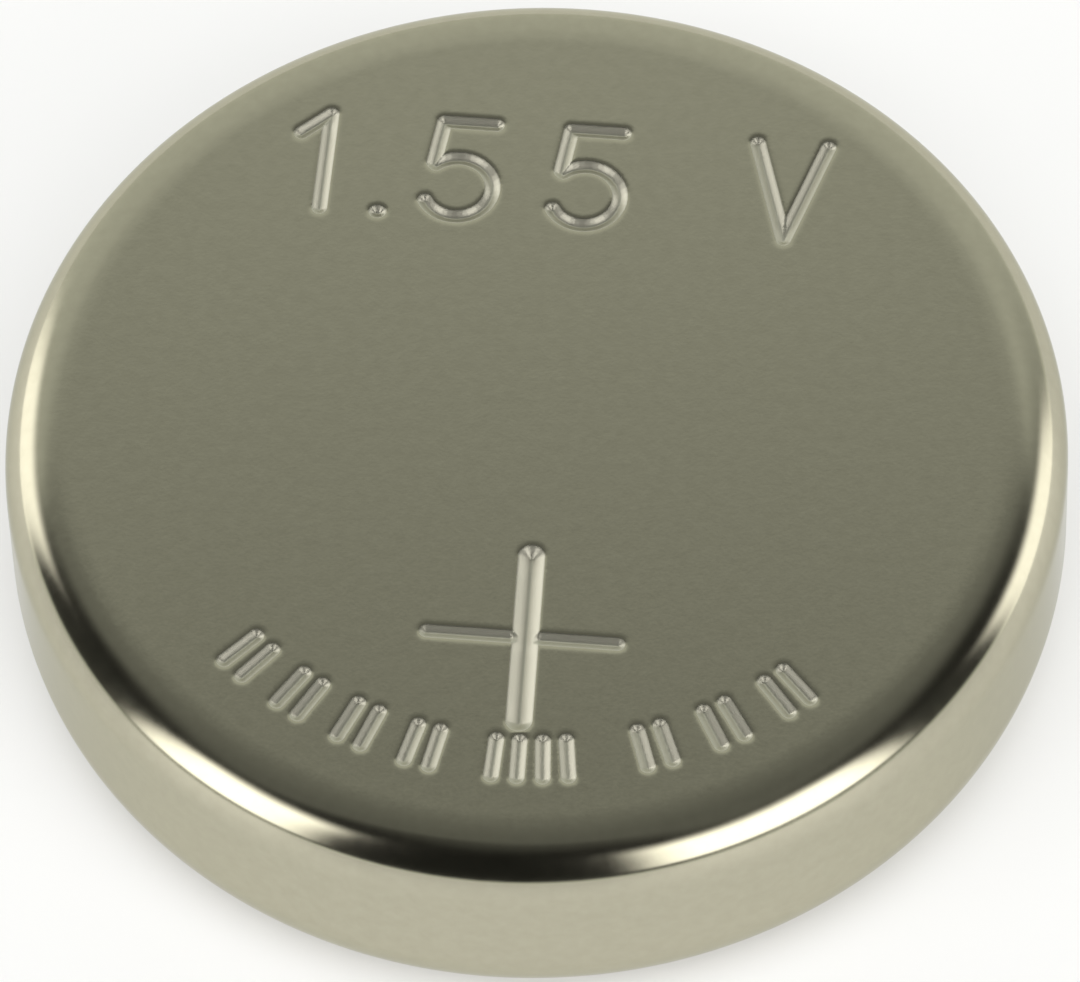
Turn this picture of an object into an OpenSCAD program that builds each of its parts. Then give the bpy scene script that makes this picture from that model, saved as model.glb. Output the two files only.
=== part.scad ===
// Silver oxide button cell of the standard 11.6 x 3.05 mm size, positive can uppermost.
//
// Eight pieces, all turned about one axis and nested in each other. The can is a drawn steel
// cup whose rim is rolled in over a nylon gasket. The gasket holds the anode cap, a smaller cup
// that stands in the can's mouth with its open end up and its rim folded back on itself. The
// cell stands on the cap's flat, so z = 0 is the negative contact and the can's flat face,
// the positive contact, is at the full height.

/* [Cell] */
// Outside diameter of the cell
cell_d = 11.6; // [9.5:0.1:20]
// Height over the two contacts
cell_h = 3.05; // [2.95:0.05:5.4]

/* [Positive can] */
// Thickness of the can's nickel-plated sheet
can_t = 0.25; // [0.2:0.01:0.3]
// Outside radius of the drawn shoulder round the flat face
shoulder_r = 0.6; // [0.5:0.05:0.9]
// Outside radius of the rim where it is rolled in over the gasket
crimp_r = 1.1; // [0.75:0.05:1.3]

/* [Anode cap] */
// Thickness of the cap's clad sheet
cap_t = 0.2; // [0.15:0.01:0.25]
// Outside radius of the shoulder round the cap's flat
cap_shoulder_r = 0.45; // [0.3:0.05:0.6]
// Height that the cap's flat stands out past the rolled rim
cap_proud = 0.28; // [0.2:0.01:0.4]
// Slit that is left inside the folded rim
fold_gap = 0.04; // [0.02:0.01:0.08]
// Depth that the folded rim's cut edge reaches into the rolled rim
skirt_bite = 0.18; // [0.1:0.01:0.25]

/* [Gasket] */
// Space between the can's wall and the cap's folded rim, which the gasket fills
gasket_t = 0.35; // [0.25:0.01:0.4]
// Thickness of the foot between the folded rim and the separator
foot_t = 0.25; // [0.15:0.01:0.3]
// Thickness of the hook that hangs down inside the cap's wall
hook_t = 0.18; // [0.12:0.01:0.25]
// Length of that hook below the foot
hook_h = 0.35; // [0.2:0.01:0.4]
// Thickness of the lip that the rolled rim's edge nips against the cap
lip_t = 0.12; // [0.08:0.01:0.16]
// Distance from the rolled rim's lowest line up to the end of that lip
lip_recess = 0.06; // [0:0.01:0.12]

/* [Cathode] */
// Thickness of the pressed silver oxide pellet
pellet_t = 0.95; // [0.8:0.01:1.05]
// Thickness of the steel sleeve pressed round the pellet
sleeve_t = 0.15; // [0.1:0.01:0.2]
// Height of the sleeve's leg along the can's wall
sleeve_h = 0.45; // [0.35:0.01:0.5]
// Width of the sleeve's flange, which carries the gasket's foot
sleeve_w = 0.75; // [0.5:0.05:1.2]
// Inside radius of the sleeve's bend
sleeve_bend = 0.08; // [0.05:0.01:0.1]

/* [Separator] */
// Thickness of the ion-passing barrier film
membrane_t = 0.08; // [0.05:0.01:0.12]
// Gap between the film's edge and the can's wall
membrane_play = 0.1; // [0.05:0.01:0.2]
// Thickness of the absorbent pad under the film
pad_t = 0.2; // [0.1:0.01:0.25]

/* [Fits] */
// Gap between round faces that lie against each other
fit = 0.02; // [0.01:0.005:0.03]

/* [Hidden] */
$fn = 128;

// Worked-out sizes are kept to a tenth of a micrometre, so that neighbours share their edges
function fine(v) = round(v * 10000) / 10000;

// The can, and the cathode stack that hangs under its flat face
can_r = cell_d / 2;
can_in = can_r - can_t;
can_floor = cell_h - can_t;
pellet_z = can_floor - pellet_t;
membrane_z = pellet_z - membrane_t;
pad_z = membrane_z - pad_t;
foot_z = membrane_z - foot_t;

// The cap stands inside the gasket; its rim is folded outwards and back down
skirt_out = can_in - gasket_t;
skirt_in = skirt_out - cap_t;
cap_r = skirt_in - fold_gap;
cap_in = cap_r - cap_t;
fold_r = (skirt_out - cap_in) / 2;
fold_x = cap_in + fold_r;
fold_z = foot_z - fit - fold_r;

// The gasket's hook is inside the cap, and its lip is between the cap and the rolled rim
hook_out = cap_in - fit;
hook_in = hook_out - hook_t;
hook_z = foot_z - hook_h;
lip_in = cap_r + fit;
lip_out = lip_in + lip_t;
lip_z = cap_proud + lip_recess;

// The can's rim is rolled in until its cut edge meets the lip
crimp_x = can_r - crimp_r;
crimp_in = crimp_r - can_t;
crimp_turn = acos((lip_out + fit - crimp_x) / crimp_in);
crimp_z = fine(cap_proud + crimp_r * sin(crimp_turn));
skirt_z = crimp_z - skirt_bite;

// The sleeve is an L-shaped ring let into the pellet's lower edge
sleeve_out = can_in - fit;
sleeve_in = sleeve_out - sleeve_t;
flange_in = sleeve_out - sleeve_w;
sleeve_z = pellet_z + sleeve_t;
sleeve_top = pellet_z + sleeve_h;

// Rectangle of a half-section between two radii and two heights
module plate(r0, r1, z0, z1) {
    translate([r0, z0]) square([r1 - r0, z1 - z0]);
}

// Wedge between two angles less than 180 degrees apart, long enough to cut a circle of radius r
module wedge(r, from, to) {
    reach = 4 * r;
    middle = (from + to) / 2;
    polygon([[0, 0], reach * [cos(from), sin(from)], reach * [cos(middle), sin(middle)],
             reach * [cos(to), sin(to)]]);
}

// Slice of a disc about a point of the half-section
module slice(at, r, from, to) {
    translate(at) intersection() {
        circle(r);
        wedge(r, from, to);
    }
}

// Bend in a sheet: a slice of a ring between the sheet's two faces
module bend(at, outer, sheet, from, to) {
    translate(at) intersection() {
        difference() {
            circle(outer);
            circle(outer - sheet);
        }
        wedge(outer, from, to);
    }
}

// Half-section of a disc, with its lower and upper corners rounded to the radii given
module slab(r, z0, z1, low = 0, high = 0) {
    plate(0, r, z0 + low, z1 - high);
    if (low > 0) {
        plate(0, r - low, z0, z0 + low);
        slice([r - low, z0 + low], low, -90, 0);
    }
    if (high > 0) {
        plate(0, r - high, z1 - high, z1);
        slice([r - high, z1 - high], high, 0, 90);
    }
}

// Drawn cup, face up: flat face, shoulder, wall, and the rim rolled in at its foot
module can_section() {
    shoulder_x = can_r - shoulder_r;
    shoulder_z = cell_h - shoulder_r;
    plate(0, shoulder_x, can_floor, cell_h);
    bend([shoulder_x, shoulder_z], shoulder_r, can_t, 0, 90);
    plate(can_in, can_r, crimp_z, shoulder_z);
    bend([crimp_x, crimp_z], crimp_r, can_t, -crimp_turn, 0);
}

// Cup with its flat down: the wall goes up to a tight fold and comes back down as a skirt
module cap_section() {
    plate(0, cap_r - cap_shoulder_r, 0, cap_t);
    bend([cap_r - cap_shoulder_r, cap_shoulder_r], cap_shoulder_r, cap_t, -90, 0);
    plate(cap_in, cap_r, cap_shoulder_r, fold_z);
    bend([fold_x, fold_z], fold_r, cap_t, 0, 90);
    bend([fold_x, fold_z], fold_r, cap_t, 90, 180);
    plate(skirt_in, skirt_out, skirt_z, fold_z);
}

// Room inside the can's wall and its rolled rim, as high as the gasket reaches
module can_room() {
    bed_r = crimp_in - fit;
    plate(0, can_in - fit, crimp_z, membrane_z);
    plate(0, crimp_x, crimp_z - bed_r, crimp_z);
    intersection() {
        translate([crimp_x, crimp_z]) circle(bed_r);
        plate(crimp_x, can_in, crimp_z - bed_r, crimp_z);
    }
}

// Room that the gasket leaves for the folded rim, open at the bottom
module fold_room() {
    room_r = fold_r + fit;
    plate(hook_out, skirt_out + fit, skirt_z - fit, fold_z);
    slice([fold_x, fold_z], room_r, 0, 90);
    slice([fold_x, fold_z], room_r, 90, 180);
}

// Moulded ring, squeezed to the shape of the space between the can and the cap
module gasket_section() {
    difference() {
        intersection() {
            union() {
                plate(hook_in, can_in, fold_z, membrane_z);
                plate(hook_in, hook_out, hook_z, fold_z);
                plate(lip_in, can_in, crimp_z - crimp_in, fold_z);
            }
            can_room();
        }
        fold_room();
    }
    nose_r = lip_t / 2;
    plate(lip_in, lip_out, lip_z + nose_r, skirt_z - fit);
    slice([lip_in + nose_r, lip_z + nose_r], nose_r, -90, 0);
    slice([lip_in + nose_r, lip_z + nose_r], nose_r, -180, -90);
}

// Pressed disc: a boss flush with the flange, a waist inside the leg, and a full-width top
module pellet_section() {
    slab(flange_in - fit, pellet_z, sleeve_z);
    slab(sleeve_in - fit, sleeve_z, sleeve_top, low = sleeve_bend + fit);
    slab(can_in - fit, sleeve_top, can_floor, high = shoulder_r - can_t + fit);
}

// L-shaped ring: a flange across the pellet's lower face and a leg up the can's wall
module sleeve_section() {
    bend_out = sleeve_bend + sleeve_t;
    plate(flange_in, sleeve_out - bend_out, pellet_z, sleeve_z);
    bend([sleeve_out - bend_out, pellet_z + bend_out], bend_out, sleeve_t, -90, 0);
    plate(sleeve_in, sleeve_out, pellet_z + bend_out, sleeve_top);
}

// Gel of zinc powder that fills the cap up to the pad, stepped in under the gasket's hook
module zinc_section() {
    slab(cap_in - fit, cap_t, hook_z, low = cap_shoulder_r - cap_t + fit);
    slab(hook_in - fit, hook_z, pad_z);
}

module positive_can() {
    color([0.73, 0.72, 0.66]) rotate_extrude() can_section();
}

module sealing_gasket() {
    color([0.90, 0.87, 0.76]) rotate_extrude() gasket_section();
}

module anode_cap() {
    color([0.80, 0.80, 0.78]) rotate_extrude() cap_section();
}

module cathode_pellet() {
    color([0.16, 0.15, 0.14]) rotate_extrude() pellet_section();
}

module cathode_sleeve() {
    color([0.62, 0.63, 0.64]) rotate_extrude() sleeve_section();
}

module barrier_membrane() {
    color([0.83, 0.78, 0.58]) rotate_extrude() slab(can_in - membrane_play, membrane_z, pellet_z);
}

module separator_pad() {
    color([0.93, 0.93, 0.90]) rotate_extrude() slab(hook_in - fit, pad_z, membrane_z);
}

module zinc_anode() {
    color([0.42, 0.44, 0.47]) rotate_extrude() zinc_section();
}

positive_can();
sealing_gasket();
anode_cap();
cathode_pellet();
cathode_sleeve();
barrier_membrane();
separator_pad();
zinc_anode();
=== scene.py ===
"""Looks of a silver oxide button cell that stands on its anode cap, positive can uppermost.

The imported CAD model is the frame. The three pieces that show, the can, the gasket and the cap,
are turned again here from the same half-sections, as fine smooth meshes, and the can's flat face
gets its stamped marks as real grooves. The five pieces inside keep their CAD meshes and get
materials of their own. Outlines and marks are worked out in millimetres, and materials, floor,
camera and finished meshes are in metres.
"""
import math

import bmesh
import bpy
import numpy as np
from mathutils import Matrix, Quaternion, Vector
from mathutils.geometry import delaunay_2d_cdt


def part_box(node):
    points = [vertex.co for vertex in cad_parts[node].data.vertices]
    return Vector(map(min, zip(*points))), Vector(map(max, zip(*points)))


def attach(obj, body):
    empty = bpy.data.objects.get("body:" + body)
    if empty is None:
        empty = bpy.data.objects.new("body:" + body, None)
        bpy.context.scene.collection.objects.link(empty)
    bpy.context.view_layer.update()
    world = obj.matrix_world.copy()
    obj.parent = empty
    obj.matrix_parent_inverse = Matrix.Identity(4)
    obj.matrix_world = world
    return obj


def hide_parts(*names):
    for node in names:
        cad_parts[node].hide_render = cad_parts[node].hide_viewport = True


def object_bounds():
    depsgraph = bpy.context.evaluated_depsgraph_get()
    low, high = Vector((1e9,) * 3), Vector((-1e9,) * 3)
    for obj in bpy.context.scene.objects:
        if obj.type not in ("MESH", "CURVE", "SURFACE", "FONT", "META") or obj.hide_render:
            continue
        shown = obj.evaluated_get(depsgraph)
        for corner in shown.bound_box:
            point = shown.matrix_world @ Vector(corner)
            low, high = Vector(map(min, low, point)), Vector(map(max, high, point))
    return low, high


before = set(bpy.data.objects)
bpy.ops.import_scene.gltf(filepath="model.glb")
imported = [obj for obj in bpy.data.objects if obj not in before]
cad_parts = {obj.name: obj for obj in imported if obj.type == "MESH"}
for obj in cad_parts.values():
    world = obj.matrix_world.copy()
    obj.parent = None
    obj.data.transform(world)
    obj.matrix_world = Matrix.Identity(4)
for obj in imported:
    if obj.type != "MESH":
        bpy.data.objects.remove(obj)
cad_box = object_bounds()

MM = 0.001

# Sizes of the three outer pieces in millimetres, as part.scad has them
CELL_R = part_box("positive_can")[1].x / MM
CELL_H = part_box("positive_can")[1].z / MM
CAN_SHEET = 0.25
SHOULDER_R = 0.6
CRIMP_R = 1.1
SKIRT_BITE = 0.18
CAP_PROUD = 0.28
CAP_SHEET = 0.2
CAP_SHOULDER_R = 0.45
CAP_R = 4.96
FOLD_R = 0.22
FOLD_SLIT = 0.02
FOLD_Z = 1.28
FIT = 0.02
GASKET_TOP = 1.77
HOOK_T = 0.18
HOOK_Z = 1.17
LIP_T = 0.12
LIP_Z = 0.34

BLEND = 0.13  # the drawn shoulder eases into the flat face and the wall over this much more
FLAT_R = CELL_R - SHOULDER_R - BLEND
FACE_R = FLAT_R - 0.05  # the stamped face's mesh ends here, inside the flat part's edge
CRIMP_X = CELL_R - CRIMP_R
LIP_OUT = CAP_R + FIT + LIP_T
CRIMP_TURN = math.degrees(math.acos((LIP_OUT + FIT - CRIMP_X) / (CRIMP_R - CAN_SHEET)))
CRIMP_Z = CAP_PROUD + CRIMP_R * math.sin(math.radians(CRIMP_TURN))
SKIRT_Z = CRIMP_Z - SKIRT_BITE
CAP_IN = CAP_R - CAP_SHEET
FOLD_X = CAP_IN + FOLD_R

SEGMENTS = 384    # round the axis
SHARP_ANGLE = 38  # degrees between two faces from which their edge stays sharp


# ---------------------------------------------------------------------------------------------
# Half-sections
# ---------------------------------------------------------------------------------------------

def arc(x, z, radius, start, end, steps=12):
    """Points on an arc of a half-section, its angles in degrees up from the outward direction."""
    angles = np.radians(np.linspace(start, end, steps + 1))
    return [(x + radius * math.cos(a), z + radius * math.sin(a)) for a in angles]


def line(start, end, steps):
    """Points from start to end, both left out."""
    return [tuple(np.array(start) + (np.array(end) - start) * k / steps) for k in range(1, steps)]


def shoulder(steps=40):
    """Outside of the drawn shoulder, from the flat face to the wall, its bend easing in and out."""
    samples = 2000
    ease = 0.22
    share = (np.arange(samples) + 0.5) / samples
    bend = np.clip(share / ease, 0, 1) * np.clip((1 - share) / ease, 0, 1)
    tilt = np.cumsum(bend) - bend / 2
    tilt *= math.pi / 2 / bend.sum()
    run = np.cumsum(np.cos(tilt))
    drop = np.cumsum(np.sin(tilt))
    reach = SHOULDER_R + BLEND
    stops = np.radians(np.linspace(0, 90, steps + 1))
    outward = np.interp(stops, tilt, run / run[-1])
    down = np.interp(stops, tilt, drop / drop[-1])
    outward[0], down[0], outward[-1], down[-1] = 0, 0, 1, 1
    return [(FLAT_R + reach * x, CELL_H - reach * z) for x, z in zip(outward, down)]


def can_outline():
    """From the flat face's edge over the shoulder, down and round the rim, and back up inside."""
    inner_x, inner_z = CELL_R - SHOULDER_R, CELL_H - SHOULDER_R
    crimp_in = CRIMP_R - CAN_SHEET
    outline = [(FACE_R, CELL_H)] + shoulder()
    outline += line(outline[-1], (CELL_R, CRIMP_Z), 5)
    outline += arc(CRIMP_X, CRIMP_Z, CRIMP_R, 0, -CRIMP_TURN, 28)
    outline += arc(CRIMP_X, CRIMP_Z, crimp_in, -CRIMP_TURN, 0, 16)
    outline += arc(inner_x, inner_z, SHOULDER_R - CAN_SHEET, 0, 90, 10)
    outline += [(0, CELL_H - CAN_SHEET)]
    return outline


def cap_outline():
    """From the middle of the cap's flat round its shoulder, up to the fold and back inside."""
    bend_x = CAP_R - CAP_SHOULDER_R
    skirt_in = FOLD_X + FOLD_SLIT
    skirt_out = FOLD_X + FOLD_R
    outline = [(0, 0), (bend_x * 0.5, 0)]
    outline += arc(bend_x, CAP_SHOULDER_R, CAP_SHOULDER_R, -90, 0, 20)
    outline += arc(FOLD_X, FOLD_Z, FOLD_SLIT, 180, 0, 6)
    outline += [(skirt_in, SKIRT_Z), (skirt_out, SKIRT_Z)]
    outline += arc(FOLD_X, FOLD_Z, FOLD_R, 0, 180, 16)
    outline += arc(bend_x, CAP_SHOULDER_R, CAP_SHOULDER_R - CAP_SHEET, 0, -90, 10)
    outline += [(0, CAP_SHEET)]
    return outline


def gasket_outline():
    """Closed outline of the moulded ring: hook, foot, outer wall, lip, and the fold's room."""
    outer = CELL_R - CAN_SHEET - FIT
    hook_out = CAP_IN - FIT
    hook_in = hook_out - HOOK_T
    lip_in = CAP_R + FIT
    nose_r = LIP_T / 2
    bed_r = CRIMP_R - CAN_SHEET - FIT
    bed_end = -math.degrees(math.acos((LIP_OUT - CRIMP_X) / bed_r))
    outline = [(hook_in, HOOK_Z), (hook_in, GASKET_TOP), (outer, GASKET_TOP)]
    outline += arc(CRIMP_X, CRIMP_Z, bed_r, 0, bed_end, 10)
    outline += arc(lip_in + nose_r, LIP_Z + nose_r, nose_r, 0, -180, 8)
    outline += [(lip_in, SKIRT_Z - FIT), (FOLD_X + FOLD_R + FIT, SKIRT_Z - FIT)]
    outline += arc(FOLD_X, FOLD_Z, FOLD_R + FIT, 0, 180, 12)
    outline += [(hook_out, HOOK_Z)]
    return outline


# ---------------------------------------------------------------------------------------------
# Meshes
# ---------------------------------------------------------------------------------------------

def ring(radius, height):
    """One ring of SEGMENTS points round the axis."""
    turns = np.arange(SEGMENTS) * (2 * math.pi / SEGMENTS)
    return np.column_stack([radius * np.cos(turns), radius * np.sin(turns),
                            np.full(SEGMENTS, height)])


def revolve(outline, points, faces, first=None, closed=False):
    """Adds the surface that the outline sweeps.

    first is the index of a ring already made, which takes the place of the outline's first
    point. A closed outline's last ring is joined to its first.
    """
    rings = []
    for number, (radius, height) in enumerate(outline):
        if number == 0 and first is not None:
            rings.append(np.arange(first, first + SEGMENTS))
            continue
        start = len(points)
        if radius < 1e-9:
            points.append((0, 0, height))
            rings.append(np.full(SEGMENTS, start))
        else:
            points.extend(map(tuple, ring(radius, height)))
            rings.append(np.arange(start, start + SEGMENTS))
    if closed:
        rings.append(rings[0])
    for low, high in zip(rings, rings[1:]):
        for here in range(SEGMENTS):
            there = (here + 1) % SEGMENTS
            corners = [low[here], low[there], high[there], high[here]]
            faces.append(list(dict.fromkeys(int(c) for c in corners)))


def make_piece(name, points, faces, node, material):
    """Makes a smooth closed mesh that stands for a CAD node and rides on the cell's body."""
    mesh = bpy.data.meshes.new(name)
    mesh.from_pydata([Vector(p) * MM for p in points], [], faces)
    work = bmesh.new()
    work.from_mesh(mesh)
    bmesh.ops.recalc_face_normals(work, faces=work.faces)
    work.to_mesh(mesh)
    work.free()
    mesh.shade_smooth()
    mesh.set_sharp_from_angle(angle=math.radians(SHARP_ANGLE))
    mesh.materials.append(material)
    piece = bpy.data.objects.new(name, mesh)
    bpy.context.scene.collection.objects.link(piece)
    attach(piece, "root")
    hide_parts(node)
    return piece


# ---------------------------------------------------------------------------------------------
# Stamped marks
# ---------------------------------------------------------------------------------------------

MARK_TURN = -7.6           # degrees that the marks are turned on the face
MARK_SHIFT = (0.12, 0.08)  # and moved
GROOVE_BOTTOM = 0.014      # rounding of a groove's bottom
GROOVE_LIP = 0.010         # rounding of its lips
GROOVE_REACH = 0.06        # the face is quite flat this far out from a groove
GROOVE_FADE = 0.02         # the depth fades to nothing over the last of that reach
FINE_SPACING = 0.006       # least distance between the points of a groove
COARSE_MARGIN = 0.05       # the flat part's points keep this far from a groove's reach

# Strokes of the figures, in a cell one unit high
FIGURES = {
    "1": [[(0.10, 0.78), (0.34, 1.0), (0.34, 0.0)]],
    "5": [[(0.60, 1.0), (0.14, 1.0), (0.09, 0.56)]
          + arc(0.32, 0.31, 0.31, 132, -150, 30)],
    ".": [[(0.0, 0.0), (0.02, 0.0)]],
    "V": [[(0.0, 1.0), (0.31, 0.0), (0.62, 1.0)]],
}
FIGURE_ROW = [("1", 0.0), (".", 0.84), ("5", 1.2), ("5", 2.32), ("V", 4.1)]
FIGURE_HEIGHT = 1.26
FIGURE_LEFT = -3.18
FIGURE_BASE = 2.5
THIN_HALF = 0.09      # half-width of a thin stroke
FIGURE_SLOPE = 0.72   # steepness of a groove's walls

PLUS_Y = -2.9
UPRIGHT_HALF = 0.15
UPRIGHT_SLOPE = 0.7
CROSSBAR_SLOPE = 0.58

# Tick marks: middle of the group, pairs in it and their spacing, in degrees round the face
TICK_GROUPS = [(-26, 4, 9.6), (3.5, 2, 6.8), (31, 3, 10.2)]
TICK_TURN = 1.7  # half the angle between the two of a pair
TICK_IN = 4.2    # distances of a tick's ends from the middle of the face
TICK_OUT = 4.66
TICK_SLOPE = 0.68


def strokes():
    """The marks as (points, half-width, slope of the walls), x along the line of figures."""
    made = []
    for figure, x in FIGURE_ROW:
        for path in FIGURES[figure]:
            placed = [(FIGURE_LEFT + (x + u) * FIGURE_HEIGHT, FIGURE_BASE + v * FIGURE_HEIGHT)
                      for u, v in path]
            made.append((placed, THIN_HALF, FIGURE_SLOPE))
    made.append(([(0.03, PLUS_Y + 1.04), (0.1, PLUS_Y - 1.04)], UPRIGHT_HALF, UPRIGHT_SLOPE))
    for start, end in ((-1.0, -0.11), (0.24, 1.06)):
        made.append(([(start, PLUS_Y), (end, PLUS_Y)], THIN_HALF, CROSSBAR_SLOPE))
    for group, count, spacing in TICK_GROUPS:
        for k in range(count):
            middle = -90 + group + (k - (count - 1) / 2) * spacing
            for turn in (middle - TICK_TURN, middle + TICK_TURN):
                c, s = math.cos(math.radians(turn)), math.sin(math.radians(turn))
                made.append(([(TICK_IN * c, TICK_IN * s), (TICK_OUT * c, TICK_OUT * s)],
                             THIN_HALF, TICK_SLOPE))
    return made


def placed_strokes():
    """The strokes on the face, as arrays of points."""
    turn = math.radians(MARK_TURN)
    rotate = np.array([[math.cos(turn), math.sin(turn)], [-math.sin(turn), math.cos(turn)]])
    return [(np.array(path) @ rotate + MARK_SHIFT, half, slope) for path, half, slope in strokes()]


def distances(points, path):
    """Distance from each point to a path of straight pieces."""
    nearest = np.full(len(points), np.inf)
    for a, b in zip(path, path[1:]):
        along = b - a
        share = np.clip((points - a) @ along / (along @ along), 0, 1)
        nearest = np.minimum(nearest, np.linalg.norm(points - a - share[:, None] * along, axis=1))
    return nearest


def groove_depth(distance, half, slope):
    """Depth of a groove with sloping walls, a rounded bottom and rounded lips."""
    inside = half - np.sqrt(distance ** 2 + GROOVE_BOTTOM ** 2)
    depth = slope * GROOVE_LIP * np.log1p(np.exp(inside / GROOVE_LIP))
    return depth * np.clip((half + GROOVE_REACH - distance) / GROOVE_FADE, 0, 1)


def face_depth(points, marks):
    """How deep the stamped face is at each point, and which mark is deepest there."""
    depths = np.array([groove_depth(distances(points, path), half, slope)
                       for path, half, slope in marks])
    return depths.max(0), depths.argmax(0)


def groove_points(path, half):
    """Rows of points along a stroke and round its ends, close where the groove bends."""
    offsets = [0, 0.009, 0.02, half * 0.5, half - 0.024, half - 0.01, half + 0.003, half + 0.016,
               half + 0.032, half + GROOVE_REACH, half + GROOVE_REACH + 0.02]
    step = 0.03
    least_count = 18
    made = []
    for a, b in zip(path, path[1:]):
        along = b - a
        length = np.linalg.norm(along)
        ahead = along / length
        side = np.array([-ahead[1], ahead[0]])
        places = a + np.linspace(0, 1, max(2, round(length / step) + 1))[:, None] * along
        for offset in offsets:
            made.append(places + side * offset)
            made.append(places - side * offset)
    for corner in path:
        for offset in offsets[1:]:
            count = max(least_count, round(2 * math.pi * offset / step))
            turns = np.arange(count) * (2 * math.pi / count)
            made.append(corner + offset * np.column_stack([np.cos(turns), np.sin(turns)]))
    return np.concatenate(made)


def thinned(points, spacing):
    """Points with no two in one cell of a grid of that spacing."""
    cells = np.round(points / spacing).astype(int)
    _, keep = np.unique(cells, axis=0, return_index=True)
    return points[np.sort(keep)]


def face_points():
    """The flat face's points: its rim first, then the grooves', then the rest."""
    marks = placed_strokes()
    fine = []
    for number, (path, half, _) in enumerate(marks):
        points = groove_points(path, half)
        _, owner = face_depth(points, marks)
        own_distance = distances(points, path)
        fine.append(points[(owner == number) | (own_distance > half + 0.01)])
    fine = thinned(np.concatenate(fine), FINE_SPACING)
    coarse = []
    spacing = 0.11
    widest = 0.3
    radius = FACE_R - spacing
    while radius > 0.1:
        count = round(2 * math.pi * radius / spacing)
        turns = (np.arange(count) + 0.5 * (len(coarse) % 2)) * (2 * math.pi / count)
        coarse.append(radius * np.column_stack([np.cos(turns), np.sin(turns)]))
        spacing = min(spacing * 1.25, widest)
        radius -= spacing
    coarse = np.concatenate(coarse)
    away = np.min([distances(coarse, path) - half for path, half, _ in marks], axis=0)
    rim = ring(FACE_R, 0)[:, :2]
    flat = np.concatenate([rim, fine, coarse[away > GROOVE_REACH + COARSE_MARGIN]])
    depth, _ = face_depth(flat, marks)
    depth[:SEGMENTS] = 0
    return np.column_stack([flat, CELL_H - depth])


def make_can(material):
    """The can: its stamped face, and the rest turned on from the face's rim."""
    face = face_points()
    flat = [Vector((x, y)) for x, y, _ in face]
    found, _, triangles, *_ = delaunay_2d_cdt(flat, [], [list(range(SEGMENTS))], 1, 1e-7)
    if len(found) != len(flat):
        raise RuntimeError("the face's points were merged")
    points = [tuple(p) for p in face]
    faces = [list(t) for t in triangles]
    revolve(can_outline(), points, faces, first=0)
    return make_piece("can_shell", points, faces, "positive_can", material)


def make_turned(name, outline, closed, node, material):
    """A piece that is only its outline, turned."""
    points, faces = [], []
    revolve(outline, points, faces, closed=closed)
    return make_piece(name, points, faces, node, material)


# ---------------------------------------------------------------------------------------------
# Materials
# ---------------------------------------------------------------------------------------------

def add(tree, kind, inputs=None, **settings):
    """Adds a node. inputs maps sockets to plain values or to the sockets that feed them."""
    made = tree.nodes.new(kind)
    for name, value in settings.items():
        setattr(made, name, value)
    for name, value in (inputs or {}).items():
        if isinstance(value, bpy.types.NodeSocket):
            tree.links.new(value, made.inputs[name])
        else:
            made.inputs[name].default_value = value
    return made


def new_material(name, **constants):
    """A material with a Principled shader, its constants set on the shader's own sockets."""
    material = bpy.data.materials.new(name)
    material.use_nodes = True
    tree = material.node_tree
    shader = tree.nodes["Principled BSDF"]
    for socket, value in constants.items():
        shader.inputs[socket.replace("_", " ")].default_value = value
    return material, tree, shader


def wire(tree, shader, tone, roughness, normal):
    """Feeds a shader the three things that vary over every material here."""
    for socket, source in (("Base Color", tone), ("Roughness", roughness), ("Normal", normal)):
        tree.links.new(source, shader.inputs[socket])


def noise(tree, place, size, detail=3.0, rough=0.5):
    """Noise whose features are about size metres across."""
    made = add(tree, "ShaderNodeTexNoise", {"Vector": place, "Scale": 1 / size,
                                            "Detail": detail, "Roughness": rough})
    return made.outputs["Fac"]


def remap(tree, value, low, high, to_low, to_high, kind="LINEAR"):
    """Value moved from one range to another and held inside it."""
    made = add(tree, "ShaderNodeMapRange", {"Value": value, "From Min": low, "From Max": high,
                                            "To Min": to_low, "To Max": to_high},
               interpolation_type=kind)
    return made.outputs["Result"]


def blend_colours(tree, factor, first, second):
    """Colour that goes from first to second, each a socket or three plain numbers."""
    ends = {socket: value if isinstance(value, bpy.types.NodeSocket) else (*value, 1)
            for socket, value in ((6, first), (7, second))}
    return add(tree, "ShaderNodeMix", {"Factor": factor, **ends}, data_type="RGBA").outputs[2]


def blend_values(tree, factor, first, second):
    """Number that goes from first to second."""
    ends = {"Factor": factor, 2: first, 3: second}
    return add(tree, "ShaderNodeMix", ends, data_type="FLOAT").outputs[0]


def maths(tree, operation, first, second):
    """One sum, product or the like."""
    return add(tree, "ShaderNodeMath", {0: first, 1: second}, operation=operation).outputs[0]


def stretched(tree, place, factors):
    """Place with its three numbers multiplied by factors."""
    made = add(tree, "ShaderNodeVectorMath", {0: place, 1: factors}, operation="MULTIPLY")
    return made.outputs["Vector"]


def component(tree, vector, axis):
    """One number of a vector."""
    return add(tree, "ShaderNodeSeparateXYZ", {"Vector": vector}).outputs[axis]


def bump(tree, height, rise):
    """Normal from a height of 0 to 1 that stands for so many metres."""
    made = add(tree, "ShaderNodeBump", {"Height": height, "Strength": 1.0, "Distance": rise})
    return made.outputs["Normal"]


def object_place(tree):
    """Place on the piece, in metres."""
    return add(tree, "ShaderNodeTexCoord").outputs["Object"]


def axis_distance(tree, place):
    """Distance from the cell's axis."""
    flat = stretched(tree, place, (1, 1, 0))
    return add(tree, "ShaderNodeVectorMath", {0: flat}, operation="LENGTH").outputs["Value"]


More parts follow.
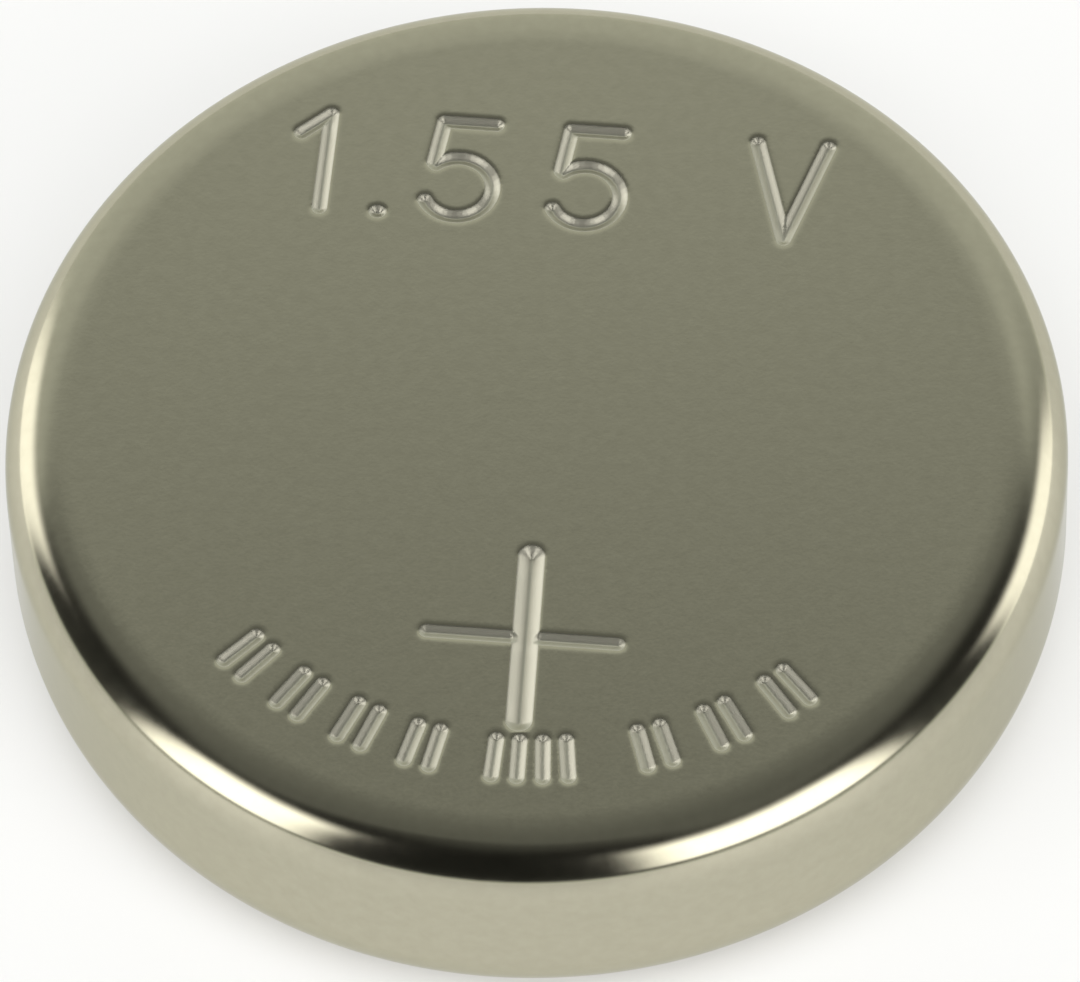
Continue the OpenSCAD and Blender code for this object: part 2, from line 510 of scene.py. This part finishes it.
def can_material():
    """Nickel plate: satin, finely mottled face, grooves painted paler as a highlight, bright round
    it.
    """
    material, tree, shader = new_material("can_nickel", Metallic=1.0,
                                          Specular_Tint=(0.75, 0.75, 0.70, 1))
    place = object_place(tree)
    radius = axis_distance(tree, place)
    bright = remap(tree, radius, FLAT_R * MM, (FLAT_R + 0.5) * MM, 0, 1, "SMOOTHSTEP")
    mottle = noise(tree, place, 0.00016, 4, 0.6)
    grain = noise(tree, place, 0.00004, 2)
    tone = blend_colours(tree, remap(tree, mottle, 0.3, 0.7, 0, 1),
                         (0.470, 0.447, 0.345), (0.500, 0.477, 0.370))
    height = component(tree, place, "Z")
    sunk = remap(tree, height, (CELL_H - 0.012) * MM, (CELL_H - 0.002) * MM, 1, 0, "SMOOTHSTEP")
    inside = remap(tree, radius, FACE_R * MM, FLAT_R * MM, 1, 0)
    stamped = maths(tree, "MULTIPLY", sunk, inside)
    # Painted highlight: the grooves get a paler tone that stands in for the light their walls
    # catch; their higher roughness is real.
    tone = blend_colours(tree, stamped, tone, (0.67, 0.65, 0.55))
    shader.inputs["Base Color"].default_value = (0.485, 0.462, 0.357, 1)  # if nothing is baked
    satin = remap(tree, grain, 0.3, 0.7, 0.16, 0.19)
    polish = remap(tree, mottle, 0.3, 0.7, 0.13, 0.15)
    roughness = blend_values(tree, stamped, blend_values(tree, bright, satin, polish), 0.41)
    relief = maths(tree, "ADD", maths(tree, "MULTIPLY", mottle, 0.7),
                   maths(tree, "MULTIPLY", grain, 0.3))
    relief = maths(tree, "MULTIPLY", relief, remap(tree, bright, 0, 1, 1, 0.1))
    wire(tree, shader, tone, roughness, bump(tree, relief, 0.0000005))
    return material


def cap_material():
    """Satin nickel of the anode cap, with faint marks of turning."""
    material, tree, shader = new_material("cap_nickel", Metallic=1.0)
    place = object_place(tree)
    grain = noise(tree, place, 0.00005, 3)
    outward = maths(tree, "MULTIPLY", axis_distance(tree, place), 1 / 0.00012)
    turned = add(tree, "ShaderNodeTexNoise", {"W": outward, "Scale": 1.0},
                 noise_dimensions="1D").outputs["Fac"]
    tone = blend_colours(tree, grain, (0.58, 0.55, 0.46), (0.66, 0.63, 0.55))
    height = maths(tree, "ADD", maths(tree, "MULTIPLY", grain, 0.5), turned)
    wire(tree, shader, tone, remap(tree, grain, 0.3, 0.7, 0.24, 0.34),
         bump(tree, height, 0.0000005))
    return material


def gasket_material():
    """Natural nylon: cream, a little translucent, with a moulded skin."""
    material, tree, shader = new_material("gasket_nylon", IOR=1.53, Subsurface_Weight=0.25,
                                          Subsurface_Scale=0.0004)
    place = object_place(tree)
    cloud = noise(tree, place, 0.0005, 3)
    tone = blend_colours(tree, cloud, (0.80, 0.74, 0.60), (0.87, 0.82, 0.69))
    wire(tree, shader, tone, remap(tree, cloud, 0.3, 0.7, 0.38, 0.5),
         bump(tree, noise(tree, place, 0.00006), 0.000002))
    return material


def oxide_material():
    """Pressed silver oxide: brown-black powder with a few paler specks."""
    material, tree, shader = new_material("silver_oxide_powder", Specular_IOR_Level=0.3)
    place = object_place(tree)
    specks = noise(tree, place, 0.00006, 4, 0.7)
    tone = blend_colours(tree, remap(tree, specks, 0.4, 0.75, 0, 1), (0.035, 0.030, 0.026),
                         (0.13, 0.12, 0.11))
    wire(tree, shader, tone, remap(tree, specks, 0.3, 0.7, 0.75, 0.95),
         bump(tree, specks, 0.00001))
    return material


def sleeve_material():
    """Plain drawn steel, with fine lines along the draw."""
    material, tree, shader = new_material("sleeve_steel", Metallic=1.0)
    place = object_place(tree)
    lines = noise(tree, stretched(tree, place, (1, 1, 0.06)), 0.00005, 3)
    tone = blend_colours(tree, lines, (0.50, 0.50, 0.49), (0.62, 0.62, 0.60))
    wire(tree, shader, tone, remap(tree, lines, 0.3, 0.7, 0.28, 0.42),
         bump(tree, lines, 0.000002))
    return material


def film_material():
    """Thin amber film with a smooth skin and faint clouding."""
    material, tree, shader = new_material("barrier_film", IOR=1.47, Transmission_Weight=0.25)
    place = object_place(tree)
    cloud = noise(tree, place, 0.0009, 3)
    tone = blend_colours(tree, cloud, (0.74, 0.64, 0.40), (0.84, 0.76, 0.55))
    wire(tree, shader, tone, remap(tree, cloud, 0.3, 0.7, 0.16, 0.28),
         bump(tree, cloud, 0.000004))
    return material


def pad_material():
    """Non-woven fibre: pale crossing strands with small hollows between them."""
    material, tree, shader = new_material("pad_fibre", Sheen_Weight=0.2)
    place = object_place(tree)
    strands = [noise(tree, stretched(tree, place, factors), 0.00003, 3)
               for factors in ((1, 0.12, 1), (0.12, 1, 1))]
    web = maths(tree, "MAXIMUM", *strands)
    tone = blend_colours(tree, remap(tree, web, 0.4, 0.7, 0, 1), (0.62, 0.62, 0.58),
                         (0.88, 0.88, 0.85))
    wire(tree, shader, tone, remap(tree, web, 0.3, 0.7, 0.95, 0.8), bump(tree, web, 0.00002))
    return material


def zinc_material():
    """Zinc powder in gel: grey grains with a wet gloss between them."""
    material, tree, shader = new_material("zinc_gel", Metallic=0.6)
    place = object_place(tree)
    grains = add(tree, "ShaderNodeTexVoronoi", {"Vector": place, "Scale": 1 / 0.00009})
    distance = grains.outputs["Distance"]
    tone = blend_colours(tree, remap(tree, distance, 0, 0.6, 0, 1), (0.34, 0.35, 0.37),
                         (0.12, 0.125, 0.135))
    wire(tree, shader, tone, remap(tree, distance, 0.1, 0.6, 0.5, 0.25),
         bump(tree, maths(tree, "SUBTRACT", 1.0, distance), 0.00002))
    return material


def dress_inner_nodes():
    """Gives the pieces inside the cell their own materials."""
    dressed = [("cathode_pellet", oxide_material(), "silver_oxide"),
               ("cathode_sleeve", sleeve_material(), "sleeve_steel"),
               ("barrier_membrane", film_material(), "barrier_film"),
               ("separator_pad", pad_material(), "pad_fibre"),
               ("zinc_anode", zinc_material(), "zinc_gel")]
    for name, material, slot in dressed:
        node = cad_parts[name]
        node.data.materials.clear()
        node.data.materials.append(material)


# ---------------------------------------------------------------------------------------------
# Studio
# ---------------------------------------------------------------------------------------------

TOP = Vector((0, 0, CELL_H * MM))

FLOOR_HALF = 2.0       # metres from the cell to the floor's edges
FLOOR_DROP = 0.000002  # it lies this much below the cap's flat, so that the two don't coincide
FLOOR_WHITE = 0.4      # share of plain white in what the eye and the metal see of it
# Painted shade: a smaller white share under and beside the cell darkens the floor there, on top of
# its real shadow.
SHADOW_WHITE = 0.08    # the same under the cell
SHADOW_IN = 0.0048     # the share grows between these two distances from the axis
SHADOW_OUT = 0.0062

# The room round the cell. Elevations and azimuths are in degrees, azimuths from +X towards +Y.
# Each profile is a list of (elevation, brightness), and is pale at the horizon.
ROOM_TINT = (0.97, 1.0, 0.92)
PALE = 0.86
BEHIND = [(0, PALE), (3, 0.76), (20, 0.70), (45, 0.67), (54.3, 0.65), (57.8, 0.23), (70, 0.21),
          (90, 0.18)]
BESIDE = [(0, PALE), (2.9, 0.76), (7, 0.04), (45, 0.025), (52, 0.045), (58, 0.10), (66, 0.18),
          (90, 0.18)]
BEFORE = [(0, PALE), (2.9, 0.76), (4.6, 0.02), (50, 0.012), (60, 0.02), (66, 0.035), (72, 0.06),
          (80, 0.09), (90, 0.18)]
WALL_AZIMUTH = 88           # the wall behind the cell is square to this azimuth
WALL_RIGHT = (105, 96, 40)  # azimuth, and outer and inner angle from it, of its soft right end
WALL_LEFT = (60, 104, 72)   # the same of its left end
FRONT = (-108, 50, 15)      # azimuth, half-width and softness of the dark side in front
# Bright panels: azimuth of the middle, half-width, softness of the sides, foot, top, softness of
# the top, radiance
PANELS = [(-150, 14, 8, 7, 50, 9, 3.0), (-50, 21, 8, 9, 51, 9, 3.0),
          (145, 12, 7, -9, 31, 8, 2.1), (17, 14, 7, -9, 29, 8, 2.1)]


def make_floor():
    """Plain pale floor. The eye and the metal see part of it as white, less so under the cell, as
    painted shade.
    """
    material, tree, shader = new_material("floor_paint", Roughness=0.4, Specular_IOR_Level=0.5)
    place = object_place(tree)
    cloud = noise(tree, place, 0.05, 2)
    tone = blend_colours(tree, cloud, (0.875, 0.875, 0.87), (0.885, 0.885, 0.88))
    tree.links.new(tone, shader.inputs["Base Color"])
    ray = add(tree, "ShaderNodeLightPath").outputs
    seen = maths(tree, "MAXIMUM", ray["Is Camera Ray"], ray["Is Glossy Ray"])
    seen = maths(tree, "MAXIMUM", seen, ray["Is Transmission Ray"])
    # Painted shade: the white share falls under the cell, so the floor is darker there.
    share = remap(tree, axis_distance(tree, place), SHADOW_IN, SHADOW_OUT, SHADOW_WHITE,
                  FLOOR_WHITE, "SMOOTHSTEP")
    white = add(tree, "ShaderNodeEmission", {"Color": (1, 1, 1, 1), "Strength": 1.0})
    mixed = add(tree, "ShaderNodeMixShader", {"Fac": maths(tree, "MULTIPLY", seen, share),
                                              1: shader.outputs["BSDF"],
                                              2: white.outputs["Emission"]})
    tree.links.new(mixed.outputs["Shader"], tree.nodes["Material Output"].inputs["Surface"])
    material.cycles.emission_sampling = "NONE"
    mesh = bpy.data.meshes.new("floor")
    level = cad_box[0].z - FLOOR_DROP
    corners = [(x * FLOOR_HALF, y * FLOOR_HALF, level)
               for x, y in ((-1, -1), (1, -1), (1, 1), (-1, 1))]
    mesh.from_pydata(corners, [], [(0, 1, 2, 3)])
    mesh.materials.append(material)
    floor = bpy.data.objects.new("floor", mesh)
    bpy.context.scene.collection.objects.link(floor)


def profile(tree, height, stops):
    """Colour that follows the sine of the elevation. stops are (degrees, brightness)."""
    ramp = add(tree, "ShaderNodeValToRGB", {"Fac": height})
    elements = ramp.color_ramp.elements
    while len(elements) < len(stops):
        elements.new(0.5)
    for element, (elevation, level) in zip(elements, stops):
        element.position = math.sin(math.radians(elevation))
        element.color = (level * ROOM_TINT[0], level * ROOM_TINT[1], level * ROOM_TINT[2], 1)
    return ramp.outputs["Color"]


def towards(tree, direction, azimuth):
    """How far a direction goes towards an azimuth."""
    middle = (math.cos(math.radians(azimuth)), math.sin(math.radians(azimuth)), 0)
    made = add(tree, "ShaderNodeVectorMath", {0: direction, 1: middle}, operation="DOT_PRODUCT")
    return made.outputs["Value"]


def unit(tree, vector):
    """The vector with a length of 1."""
    made = add(tree, "ShaderNodeVectorMath", {0: vector}, operation="NORMALIZE")
    return made.outputs["Vector"]


def falloff(tree, facing, azimuth, outer, inner):
    """1 within an inner angle of an azimuth, falling softly to 0 at an outer angle."""
    return remap(tree, towards(tree, facing, azimuth), math.cos(math.radians(outer)),
                 math.cos(math.radians(inner)), 0, 1, "SMOOTHSTEP")


def sector(tree, facing, azimuth, half, edge):
    """1 for directions no further than half from an azimuth, with soft sides."""
    return falloff(tree, facing, azimuth, half + edge, max(half - edge, 0))


def wall_height(tree, direction, azimuth):
    """Sine of the elevation at which a direction meets a straight wall, seen square on."""
    away = maths(tree, "MAXIMUM", towards(tree, direction, azimuth), 0.02)
    square = add(tree, "ShaderNodeCombineXYZ", {"X": away, "Z": component(tree, direction, "Z")})
    return component(tree, unit(tree, square.outputs["Vector"]), "Z")


def soft_step(tree, height, start, end):
    """0 at one elevation and 1 at another, with a soft step between them."""
    return remap(tree, height, math.sin(math.radians(start)), math.sin(math.radians(end)), 0, 1,
                 "SMOOTHSTEP")


def patch(tree, facing, height, azimuth, half, edge, foot, top, fade):
    """1 inside a soft-edged panel of the room, 0 outside it."""
    upright = maths(tree, "MULTIPLY", soft_step(tree, height, top + fade, top - fade),
                    soft_step(tree, height, foot - 3, foot + 3))
    return maths(tree, "MULTIPLY", sector(tree, facing, azimuth, half, edge), upright)


def make_world():
    """The room: a grey wall behind the cell, dark elsewhere, with four soft bright panels."""
    world = bpy.data.worlds.new("room")
    bpy.context.scene.world = world
    world.use_nodes = True
    tree = world.node_tree
    tree.nodes.clear()
    direction = add(tree, "ShaderNodeTexCoord").outputs["Generated"]
    height = component(tree, direction, "Z")
    facing = unit(tree, stretched(tree, direction, (1, 1, 0)))
    beside = profile(tree, height, BESIDE)
    before = profile(tree, height, BEFORE)
    behind = profile(tree, wall_height(tree, direction, WALL_AZIMUTH), BEHIND)
    room = blend_colours(tree, sector(tree, facing, *FRONT), beside, before)
    wall = maths(tree, "MULTIPLY", falloff(tree, facing, *WALL_RIGHT),
                 falloff(tree, facing, *WALL_LEFT))
    room = blend_colours(tree, wall, room, behind)
    for *shape, radiance in PANELS:
        lit = patch(tree, facing, height, *shape)
        room = blend_colours(tree, lit, room, (radiance, radiance * 0.99, radiance * 0.96))
    background = add(tree, "ShaderNodeBackground", {"Color": room, "Strength": 1.0})
    add(tree, "ShaderNodeOutputWorld", {"Surface": background.outputs["Background"]})


def make_overhead():
    """Broad soft light from above for the floor and the shadow. Metal doesn't mirror it."""
    lamp = bpy.data.lights.new("overhead", "SUN")
    lamp.energy = 1.98
    lamp.angle = math.radians(50)
    overhead = bpy.data.objects.new("overhead", lamp)
    overhead.rotation_euler = (math.radians(24), 0, 0)
    overhead.visible_glossy = False
    bpy.context.scene.collection.objects.link(overhead)


def make_camera():
    """The photograph's view: from in front and well above, turned a little about its own axis."""
    camera = bpy.data.cameras.new("camera")
    camera.sensor_width = 36
    camera.lens = 368.16
    camera.clip_start = 0.005
    camera.clip_end = 10
    eye = bpy.data.objects.new("camera", camera)
    eye.location = TOP + Vector((0, -66.509, 99.883)) * MM
    aim = TOP + Vector((0.023, -0.936, 0)) * MM
    look = (aim - eye.location).to_track_quat("-Z", "Y")
    eye.rotation_mode = "QUATERNION"
    eye.rotation_quaternion = look @ Quaternion((0, 0, 1), math.radians(-2.327))
    bpy.context.scene.collection.objects.link(eye)
    bpy.context.scene.camera = eye


make_can(can_material())
make_turned("cap_shell", cap_outline(), False, "anode_cap", cap_material())
make_turned("gasket_ring", gasket_outline(), True, "sealing_gasket",
            gasket_material())
dress_inner_nodes()

make_floor()
make_world()
make_overhead()
make_camera()

bpy.context.scene.view_settings.view_transform = "Standard"
